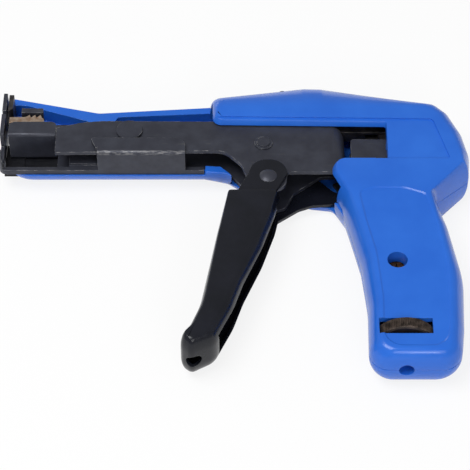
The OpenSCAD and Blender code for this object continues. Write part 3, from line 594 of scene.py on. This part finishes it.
def browned_wheel():
    finish = Finish("browned_wheel", (0.03, 0.022, 0.02), 0.5, 0.5)
    wear = finish.worn_edges(0.22 * MM, 0.35, 0.6)
    cloud = finish.ramp(finish.grain(600, 4), 0.3, 0.7)
    skin = finish.blend(cloud, (0.010, 0.007, 0.006), (0.030, 0.019, 0.015))
    finish.colour(finish.blend(wear, skin, (0.20, 0.15, 0.12)))
    finish.roughness(finish.ramp(finish.grain(900, 3), 0.3, 0.7, 0.4, 0.6))
    finish.relief(finish.grain(1500, 2), 0.01 * MM, 0.1 * MM)
    return finish.material


BLUE = moulded_blue()
BLACKENED = blackened_steel()
# The near tab's fold is worn along a band across Y and Z, and the band is also its painted highlight
FRAME_STEEL = blackened_steel("frame_steel", 1.0, ((0, 1, -1), -7.9 * MM, -8.3 * MM))
# Blackened steel darkened to a quarter: painted shade for the barrel's floor and shelf
PAINTED_SHADE_FLOOR = blackened_steel("painted_shade_floor", 0.25)
PAINT = black_paint()
STEEL = bare_steel()
WIRE = spring_wire()
TEMPERED = tempered_steel()
BRASS = dark_brass()
BROWNED = browned_wheel()


def finish_node(node, material, edge):
    """A frame node keeps its shape; its edges are eased and it gets its finish."""
    piece = nodes[node]
    piece.data.materials.clear()
    piece.data.materials.append(material)
    weld = piece.modifiers.new("weld", "WELD")
    weld.merge_threshold = WELD
    ease_edges(piece, edge, 35)


def dress(piece, body, material, slot, *replaced):
    """Gives a piece its finish and its body, in place of the nodes that it replaces; slot is not
    used.
    """
    piece.data.materials.clear()
    piece.data.materials.append(material)
    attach(piece, body)
    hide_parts(*replaced)


def handle_cutters():
    """The wheel's window, its pocket, and the bore in the butt, for either half."""
    half_l = 9.3 * MM
    half_w = 3.3 * MM
    wheel_play = 0.3 * MM
    bore_r = 2.7 * MM
    bore_end = -78.2 * MM
    window = prism(
        [(ROD_X - half_l, WHEEL_Y - half_w), (ROD_X + half_l, WHEEL_Y - half_w),
         (ROD_X + half_l, WHEEL_Y + half_w), (ROD_X - half_l, WHEEL_Y + half_w)],
        -OVER, BODY_T + OVER,
    )
    pocket = round_bar(
        (ROD_X, WHEEL_Y - half_w, MID_Z), (ROD_X, WHEEL_Y + half_w, MID_Z), WHEEL_R + wheel_play, 96,
    )
    bore = round_bar((ROD_X, -HANDLE_H - OVER, MID_Z), (ROD_X, bore_end, MID_Z), bore_r)
    return [window, pocket, bore]


def bossed(room_piece, *bosses):
    """A room's cutter, less the round bosses that stand in the room."""
    return carve(
        room_piece, [round_bar((*at, low), (*at, high), radius) for at, radius, low, high in bosses],
    )


def near_shell():
    """The half that faces the viewer: hood cover, shoulder and handle, with its pressed panels."""
    shell = rolled_body("near_shell", NEAR_HALF, 1)
    hood_depth = 0.6 * MM
    grip_depth = 0.35 * MM
    grip_slope = 0.6 * MM
    high_room_z = MID_Z + 4 * MM
    crank_boss_z = NEAR_ROOM_Z - 2.3 * MM
    hood_boss_r = 3.2 * MM
    screw_boss_r = 5.2 * MM
    screw_hole_r = 3.6 * MM
    screw_hole_z = MID_Z + 3 * MM
    cutters = [
        prism(mm_outline(HOOD_PANEL, PANEL_STEPS), BODY_T - hood_depth, BODY_T + OVER),
        panel(GRIP_PANEL, grip_depth, grip_slope),
        bossed(
            room(NEAR_LOW, MID_Z - OVER, NEAR_ROOM_Z),
            (CRANK_AT, CRANK_BOSS_R, crank_boss_z, BODY_T),
            (HOOD_SCREWS[1], hood_boss_r, MID_Z, BODY_T),
        ),
        room(NEAR_HIGH, MID_Z - OVER, high_room_z),
        bossed(
            room(HANDLE_ROOM, MID_Z - OVER, MID_Z + ROOM_DEPTH),
            (SCREW_AT, screw_boss_r, MID_Z, BODY_T),
        ),
        round_bar((*SCREW_AT, screw_hole_z), (*SCREW_AT, BODY_T + OVER), screw_hole_r, 64),
    ]
    carve(shell, cutters + handle_cutters())
    smooth(shell, 13)
    dress(shell, "housing", BLUE, "moulded_blue", "housing_near_half")


def far_shell():
    """The half that the tool lies on, with the open barrel."""
    shell = rolled_body("far_shell", FAR_HALF, -1)
    hood_boss_r = 4.8 * MM
    screw_boss_r = 4.8 * MM
    pivot_boss_r = 4.6 * MM
    crank_boss_z = 3.7 * MM
    pivot_boss_z = 5.4 * MM
    screw_hole_r = 3.2 * MM
    screw_hole_z = 6 * MM
    # Laid over the lower room so that no thin skin is left between the two
    overlap = 0.01 * MM
    far_bosses = [(at, hood_boss_r, -OVER, MID_Z) for at in HOOD_SCREWS] + [
        (CRANK_AT, CRANK_BOSS_R, -OVER, crank_boss_z), (PIVOT_AT, pivot_boss_r, -OVER, pivot_boss_z),
    ]
    web_shelf = room(
        [(-1.05, 0), (-0.235, 0), (-0.235, 0.3), (-1.05, 0.3)], MID_Z - 2 * MM, BODY_T,
    )
    cutters = [
        bossed(room(FAR_LOW, FLOOR_Z, SHELF_Z + overlap), *far_bosses),
        bossed(room(FAR_HIGH, SHELF_Z, BODY_T), *far_bosses),
        bossed(
            room(HANDLE_ROOM, MID_Z - ROOM_DEPTH, BODY_T), (SCREW_AT, screw_boss_r, -OVER, MID_Z),
        ),
        web_shelf,
    ] + [round_bar((*at, -OVER), (*at, screw_hole_z), screw_hole_r) for at in HOOD_SCREWS]
    carve(shell, cutters + handle_cutters())
    smooth(shell, 13)
    dress(shell, "housing", BLUE, "moulded_blue", "housing_far_half")


def coil(name, centre, axis, coil_r, wire_r, rise, turns):
    """A coil spring of round wire, wound along an axis from its first turn."""
    steps, sides = 40, 12
    first = Vector((1, 0, 0))
    second = axis.cross(first)
    verts = []
    for k in range(turns * steps + 1):
        turn = 2 * pi * k / steps
        out = first * cos(turn) + second * sin(turn)
        for i in range(sides):
            t = 2 * pi * i / sides
            along = axis * (rise * k / steps + wire_r * sin(t))
            verts.append(centre + out * (coil_r + wire_r * cos(t)) + along)
    faces = []
    for k in range(turns * steps):
        for i in range(sides):
            j = (i + 1) % sides
            faces.append((k * sides + i, k * sides + j, (k + 1) * sides + j, (k + 1) * sides + i))
    end = turns * steps * sides
    faces += [tuple(range(sides)), tuple(range(end, end + sides))]
    piece = mesh_piece(name, verts, faces)
    outward(piece)
    smooth(piece, 40)
    return piece


def springs():
    """The trigger's return spring, and the tension spring that the yoke presses together."""
    returning = coil(
        "return_coil", Vector((0, 0, MECH_Z - 4 * MM)), Vector((0, 0, 1)),
        coil_r=3.3 * MM, wire_r=0.5 * MM, rise=2 * MM, turns=4,
    )
    dress(returning, "lever", WIRE, "spring_steel", "trigger_spring")
    nut_top = 4.35 * MM
    play = 0.05 * MM
    wire_r = 0.75 * MM
    turns = 5
    low = WHEEL_Y + WHEEL_T / 2 + nut_top
    high = -0.598 * HANDLE_H - play
    holding = coil(
        "tension_coil", Vector((ROD_X, low + wire_r, MID_Z)), Vector((0, 1, 0)),
        coil_r=4.65 * MM, wire_r=wire_r, rise=(high - low - 2 * wire_r) / turns, turns=turns,
    )
    dress(holding, "nut", WIRE, "spring_steel", "tension_spring")
    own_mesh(holding)


def trigger_cheeks():
    """The ears inside the trigger; the far one runs on into the curved rear arm."""
    ear = rounded([place(s[0], s[1]) for s in EAR], [s[2] * CORNER_R for s in EAR], 8)
    arm = mm_outline(ARM, 8)
    near_z = MECH_Z + 6.75 * MM
    far_z = MECH_Z - 8.15 * MM
    thick = 1.4 * MM
    nose_r = 3 * MM
    pin_hole_r = 2.52 * MM
    nose = 29.9 * MM * Vector((cos(radians(4)), sin(radians(4))))
    cheek = prism(ear, near_z, near_z + thick, "trigger_cheeks")
    carve(cheek, [prism(ear, far_z, far_z + thick)], "UNION")
    carve(cheek, [prism(arm, far_z, far_z + thick)], "UNION")
    carve(cheek, [round_bar((*nose, far_z), (*nose, far_z + thick), nose_r, 64)], "UNION")
    carve(cheek, [round_bar((0, 0, 0), (0, 0, BODY_T), pin_hole_r)])
    smooth(cheek, 30)
    ease_edges(cheek, 0.3 * MM, 50)
    dress(cheek, "trigger", PAINT, "black_paint", "trigger_plates")


def inset(points, amounts):
    """An outline's corners moved inwards, edge by edge."""
    count = len(points)
    lines = []
    for i in range(count):
        along = (points[(i + 1) % count] - points[i]).normalized()
        inward = Vector((along.y, -along.x))
        lines.append((points[i] + inward * amounts[i], along))
    corners = []
    for i in range(count):
        (p, u), (q, v) = lines[i - 1], lines[i]
        step = ((q - p).x * v.y - (q - p).y * v.x) / (u.x * v.y - u.y * v.x)
        corners.append(p + u * step)
    return corners


def trigger_shell():
    """The pressed trigger: a channel with rolled edges, open along its rear to just above the tip."""
    half = GRIP_W / 2
    outer, inner = both_outlines(GRIP, 10)
    edge = roll_profile(12, 0.3, 0.0)[1:]
    profile = [(-h, share) for h, share in edge[::-1]] + edge
    shell = loft("trigger_shell", outer, inner, profile, lambda y, h: MECH_Z + half * h)
    corners = [place(row[0], row[1]) for row in GRIP]
    # The hollow runs out past the top edge, and keeps a wall along all the others
    top_reach = 12 * MM
    sharp = 0.3 * MM
    least_r = 0.5 * MM
    hollow = rounded(
        inset(corners, [-top_reach] + [GRIP_T] * (len(corners) - 1)),
        [sharp, sharp] + [max(row[4] * CORNER_R - GRIP_T, least_r) for row in GRIP[2:]], 8,
    )
    mouth = in_metres([
        (-4, 6), (30, 6), (30, -64), (-18.8, -74), (-20, -71), (-12.5, -48), (-5, -20),
    ])
    mouth_half = 5.4 * MM
    hollow_half = half - 2 * MM
    dent_r = 2.7 * MM
    cutters = [
        prism(hollow, MECH_Z - hollow_half, MECH_Z + hollow_half),
        prism(mouth, MECH_Z - mouth_half, MECH_Z + mouth_half),
        round_bar((-27.4 * MM, -86 * MM, 9.4 * MM), (-25.6 * MM, -72 * MM, 13.2 * MM), dent_r),
    ]
    carve(shell, cutters)
    smooth(shell, 24)
    ease_edges(shell, 0.3 * MM, 50)
    dress(shell, "trigger", PAINT, "black_paint", "trigger_grip")


def lathe_y(name, profile, sides, centre):
    """A turned piece about an axis along Y: its profile lists radius and place along the axis."""
    verts = []
    for radius, along in profile:
        for i in range(sides):
            turn = 2 * pi * i / sides
            verts.append((centre[0] + radius * cos(turn), along, centre[1] + radius * sin(turn)))
    count = len(profile)
    faces = []
    for k in range(count):
        n = (k + 1) % count
        for i in range(sides):
            j = (i + 1) % sides
            faces.append((k * sides + i, k * sides + j, n * sides + j, n * sides + i))
    piece = mesh_piece(name, verts, faces)
    outward(piece)
    return piece


def knurled_wheel():
    """The thumbwheel: a turned rim with a fine straight knurl round it."""
    low = WHEEL_Y - WHEEL_T / 2
    high = WHEEL_Y + WHEEL_T / 2
    chamfer = 0.5 * MM
    dish = 0.6 * MM
    rod_r, dish_r, flat_r = 2.5 * MM, 6.5 * MM, 7.2 * MM
    root = WHEEL_R - 0.35 * MM
    wheel = lathe_y("thumbwheel", [
        (rod_r, low + dish), (dish_r, low + dish), (flat_r, low), (root - chamfer, low),
        (root, low + chamfer), (root, high - chamfer), (root - chamfer, high), (flat_r, high),
        (dish_r, high - dish), (rod_r, high - dish),
    ], 120, (ROD_X, MID_Z))
    half = 0.27 * MM
    depth = WHEEL_R - root
    length = WHEEL_T / 2 - 0.35 * MM
    crest = length - 0.4 * MM
    inside = -0.1 * MM
    tooth = mesh_piece("knurl_tooth", [
        (inside, -length, -half), (inside, -length, half),
        (inside, length, half), (inside, length, -half), (depth, -crest, 0), (depth, crest, 0),
    ], [(0, 3, 2, 1), (0, 1, 4), (1, 2, 5, 4), (2, 3, 5), (3, 0, 4, 5)])
    outward(tooth)

    tree = bpy.data.node_groups.new("knurl", "GeometryNodeTree")
    tree.interface.new_socket("Geometry", in_out="OUTPUT", socket_type="NodeSocketGeometry")
    for name, kind in (
        ("Geometry", "NodeSocketGeometry"), ("Tooth", "NodeSocketObject"),
        ("Teeth", "NodeSocketInt"), ("Radius", "NodeSocketFloat"),
        ("Centre", "NodeSocketVector"), ("Finish", "NodeSocketMaterial"),
    ):
        tree.interface.new_socket(name, in_out="INPUT", socket_type=kind)
    add = tree.nodes.new
    given = add("NodeGroupInput").outputs
    result = add("NodeGroupOutput")
    circle = add("GeometryNodeMeshCircle")
    stand = add("GeometryNodeTransform")
    stand.inputs["Rotation"].default_value = (pi / 2, 0, 0)
    shape = add("GeometryNodeObjectInfo")
    at = add("GeometryNodeInputPosition")
    apart = add("ShaderNodeVectorMath")
    apart.operation = "SUBTRACT"
    facing = add("FunctionNodeAlignRotationToVector")
    facing.axis = "X"
    facing.pivot_axis = "Y"
    scatter = add("GeometryNodeInstanceOnPoints")
    real = add("GeometryNodeRealizeInstances")
    both = add("GeometryNodeJoinGeometry")
    paint = add("GeometryNodeSetMaterial")
    link = tree.links.new
    link(given["Teeth"], circle.inputs["Vertices"])
    link(given["Radius"], circle.inputs["Radius"])
    link(circle.outputs["Mesh"], stand.inputs["Geometry"])
    link(given["Centre"], stand.inputs["Translation"])
    link(given["Tooth"], shape.inputs["Object"])
    link(at.outputs["Position"], apart.inputs[0])
    link(given["Centre"], apart.inputs[1])
    link(apart.outputs["Vector"], facing.inputs["Vector"])
    link(stand.outputs["Geometry"], scatter.inputs["Points"])
    link(shape.outputs["Geometry"], scatter.inputs["Instance"])
    link(facing.outputs["Rotation"], scatter.inputs["Rotation"])
    link(scatter.outputs["Instances"], both.inputs["Geometry"])
    link(given["Geometry"], both.inputs["Geometry"])
    link(both.outputs["Geometry"], real.inputs["Geometry"])
    link(real.outputs["Geometry"], paint.inputs["Geometry"])
    link(given["Finish"], paint.inputs["Material"])
    link(paint.outputs["Geometry"], result.inputs[0])

    knurl = wheel.modifiers.new("knurl", "NODES")
    knurl.node_group = tree
    values = {
        "Tooth": tooth, "Teeth": 108, "Radius": root, "Centre": (ROD_X, WHEEL_Y, MID_Z),
        "Finish": BROWNED,
    }
    for item in tree.interface.items_tree:
        if item.in_out == "INPUT" and item.name in values:
            knurl[item.identifier] = values[item.name]
    applied(wheel)
    bpy.data.objects.remove(tooth)
    smooth(wheel, 35)
    dress(wheel, "wheel", BROWNED, "wheel_brown", "adjuster_wheel")


def barrel_floor():
    """The dark sheet on the barrel's floor, stepped up over the shelf behind the nose; its finish is
    darkened to a quarter as painted shade, standing in for the shade in the barrel.
    """
    floor = in_metres([(-93, 17.4), (-19, 17.4), (-19, 36.1), (-93, 36.1)])
    shelf = in_metres([
        (-99.9, 14.15), (-60, 14.15), (-60, 17.6), (-92.6, 17.6), (-92.6, 30), (-99.9, 30),
    ])
    pivot_hole_r = 4.9 * MM
    sheet = prism(floor, 3.65 * MM, 5.15 * MM, "barrel_floor")
    carve(sheet, [round_bar((*PIVOT_AT, 0), (*PIVOT_AT, 8 * MM), pivot_hole_r)])
    carve(sheet, [prism(shelf, 5.1 * MM, 5.6 * MM)], "UNION")
    dress(sheet, "housing", PAINTED_SHADE_FLOOR, "blackened_steel", "barrel_liner")


def seen_directly(tree, other_ray):
    """1 for the camera's own rays and for one other kind, else 0."""
    path = tree.nodes.new("ShaderNodeLightPath")
    seen = tree.nodes.new("ShaderNodeMath")
    seen.operation = "MAXIMUM"
    tree.links.new(path.outputs["Is Camera Ray"], seen.inputs[0])
    tree.links.new(path.outputs[other_ray], seen.inputs[1])
    return seen.outputs["Value"]


def camera_and_light():
    """The photograph's view: from the front, 48 degrees above the bench."""
    elevation = radians(48)
    target = Vector((-12.3, -21.13, 11)) * MM
    away = 720 * MM
    camera_data = bpy.data.cameras.new("camera")
    camera_data.sensor_width = 36
    camera_data.lens = 150.6
    camera_data.clip_start = 0.05
    camera = bpy.data.objects.new("camera", camera_data)
    bpy.context.scene.collection.objects.link(camera)
    camera.location = target + away * Vector((0, -cos(elevation), sin(elevation)))
    camera.rotation_euler = (pi / 2 - elevation, 0, 0)
    bpy.context.scene.camera = camera

    def softbox(name, location, size, power):
        light = bpy.data.lights.new(name, "AREA")
        light.shape = "RECTANGLE"
        light.size = size[0]
        light.size_y = size[1]
        light.energy = power
        lamp = bpy.data.objects.new(name, light)
        lamp.location = location
        lamp.rotation_euler = (Vector(location) - target).to_track_quat("Z", "Y").to_euler()
        bpy.context.scene.collection.objects.link(lamp)

    softbox("overhead", (-0.35, -0.2, 1.0), (0.7, 0.5), 8)
    softbox("front_spot", (0.2, -1.0, 0.45), (0.16, 0.1), 0.9)
    softbox("front", (0.3, -0.95, 0.6), (0.8, 0.35), 2.5)
    softbox("rear", (-0.5, 1.0, 0.2), (0.5, 0.15), 0.6)

    world = bpy.data.worlds.new("studio")
    world.use_nodes = True
    bpy.context.scene.world = world
    tree = world.node_tree
    background = tree.nodes["Background"]
    level = tree.nodes.new("ShaderNodeMapRange")
    level.inputs["To Min"].default_value = 0.36
    level.inputs["To Max"].default_value = 1.0
    tree.links.new(seen_directly(tree, "Is Transmission Ray"), level.inputs["Value"])
    tree.links.new(level.outputs["Result"], background.inputs["Strength"])
    background.inputs["Color"].default_value = (1, 1, 1, 1)


def pale_floor():
    """A plain floor that keeps the object's shadow and goes to white."""
    half = 1.2
    glow_share = 0.84
    floor = mesh_piece(
        "floor", [(-half, -half, 0), (half, -half, 0), (half, half, 0), (-half, half, 0)],
        [(0, 1, 2, 3)],
    )
    material = bpy.data.materials.new("pale_floor")
    material.use_nodes = True
    tree = material.node_tree
    surface = tree.nodes["Principled BSDF"]
    surface.inputs["Base Color"].default_value = (0.86, 0.86, 0.86, 1)
    surface.inputs["Roughness"].default_value = 0.85
    surface.inputs["Specular IOR Level"].default_value = 0.1
    glow = tree.nodes.new("ShaderNodeEmission")
    glow.inputs["Color"].default_value = (1, 1, 1, 1)
    share = tree.nodes.new("ShaderNodeMath")
    share.operation = "MULTIPLY"
    share.inputs[1].default_value = glow_share
    tree.links.new(seen_directly(tree, "Is Glossy Ray"), share.inputs[0])
    mix = tree.nodes.new("ShaderNodeMixShader")
    tree.links.new(share.outputs["Value"], mix.inputs["Fac"])
    tree.links.new(surface.outputs["BSDF"], mix.inputs[1])
    tree.links.new(glow.outputs["Emission"], mix.inputs[2])
    tree.links.new(mix.outputs["Shader"], tree.nodes["Material Output"].inputs["Surface"])
    floor.data.materials.append(material)


bpy.context.scene.view_settings.view_transform = "Standard"
camera_and_light()
pale_floor()

near_shell()
far_shell()
trigger_shell()
trigger_cheeks()
springs()
knurled_wheel()
barrel_floor()

finish_node("barrel_frame", FRAME_STEEL, 0.3 * MM)
for node, edge in (
    ("cutter_lever", 0.3 * MM), ("nose_block", 0.3 * MM), ("anvil", 0.2 * MM),
    ("lever_pivot_pin", 0.3 * MM), ("lever_rivet", 0.25 * MM), ("trigger_pin", 0.2 * MM),
    ("tension_yoke", 0.25 * MM),
):
    finish_node(node, BLACKENED, edge)
for node, edge in (
    ("frame_rivets", 0.2 * MM), ("fixed_blade", 0.1 * MM), ("crank_pin", 0.15 * MM),
    ("pull_link", 0.25 * MM), ("pawl_pin", 0.1 * MM), ("bell_crank", 0.2 * MM),
    ("link_pin", 0.1 * MM), ("adjuster_nut", 0.2 * MM), ("adjuster_screw", 0.1 * MM),
    ("hood_screws", 0.15 * MM),
):
    finish_node(node, STEEL, edge)
finish_node("gripper_pawl", TEMPERED, 0.12 * MM)
finish_node("handle_screw", BRASS, 0.12 * MM)
